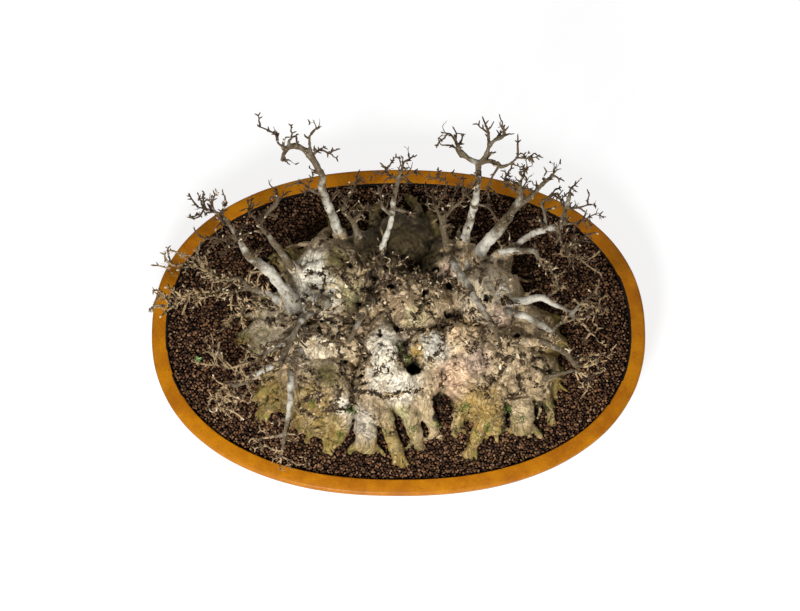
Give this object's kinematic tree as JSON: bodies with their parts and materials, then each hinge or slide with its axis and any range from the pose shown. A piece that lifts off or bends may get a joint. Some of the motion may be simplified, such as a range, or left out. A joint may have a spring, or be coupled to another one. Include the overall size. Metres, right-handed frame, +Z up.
{
  "type": "trident maple bonsai in a pot",
  "caption": "Bare winter trident maple bonsai with a wide fused root mass and short pruned branches, in an oval glazed tray pot filled with grained soil.",
  "frame": {"origin": "middle of the oval pot's plan, on the surface that its feet stand on", "axes": "+X along the pot's long axis, +Y away from the viewer to the back of the tree, +Z up"},
  "size_m": [0.6, 0.41, 0.3226],
  "materials": {
    "glaze": "gloss",
    "soil": "matte",
    "wood": "matte",
    "leaf": "satin",
    "mesh": "matte",
    "wire": "satin"
  },
  "bodies": {
    "root": {"pot": "glaze", "soil": "soil", "tree": "wood", "seedling": "leaf", "drain_screen_left": "mesh", "drain_screen_right": "mesh", "screen_wire_left": "wire", "screen_wire_right": "wire"}
  },
  "joints": []
}
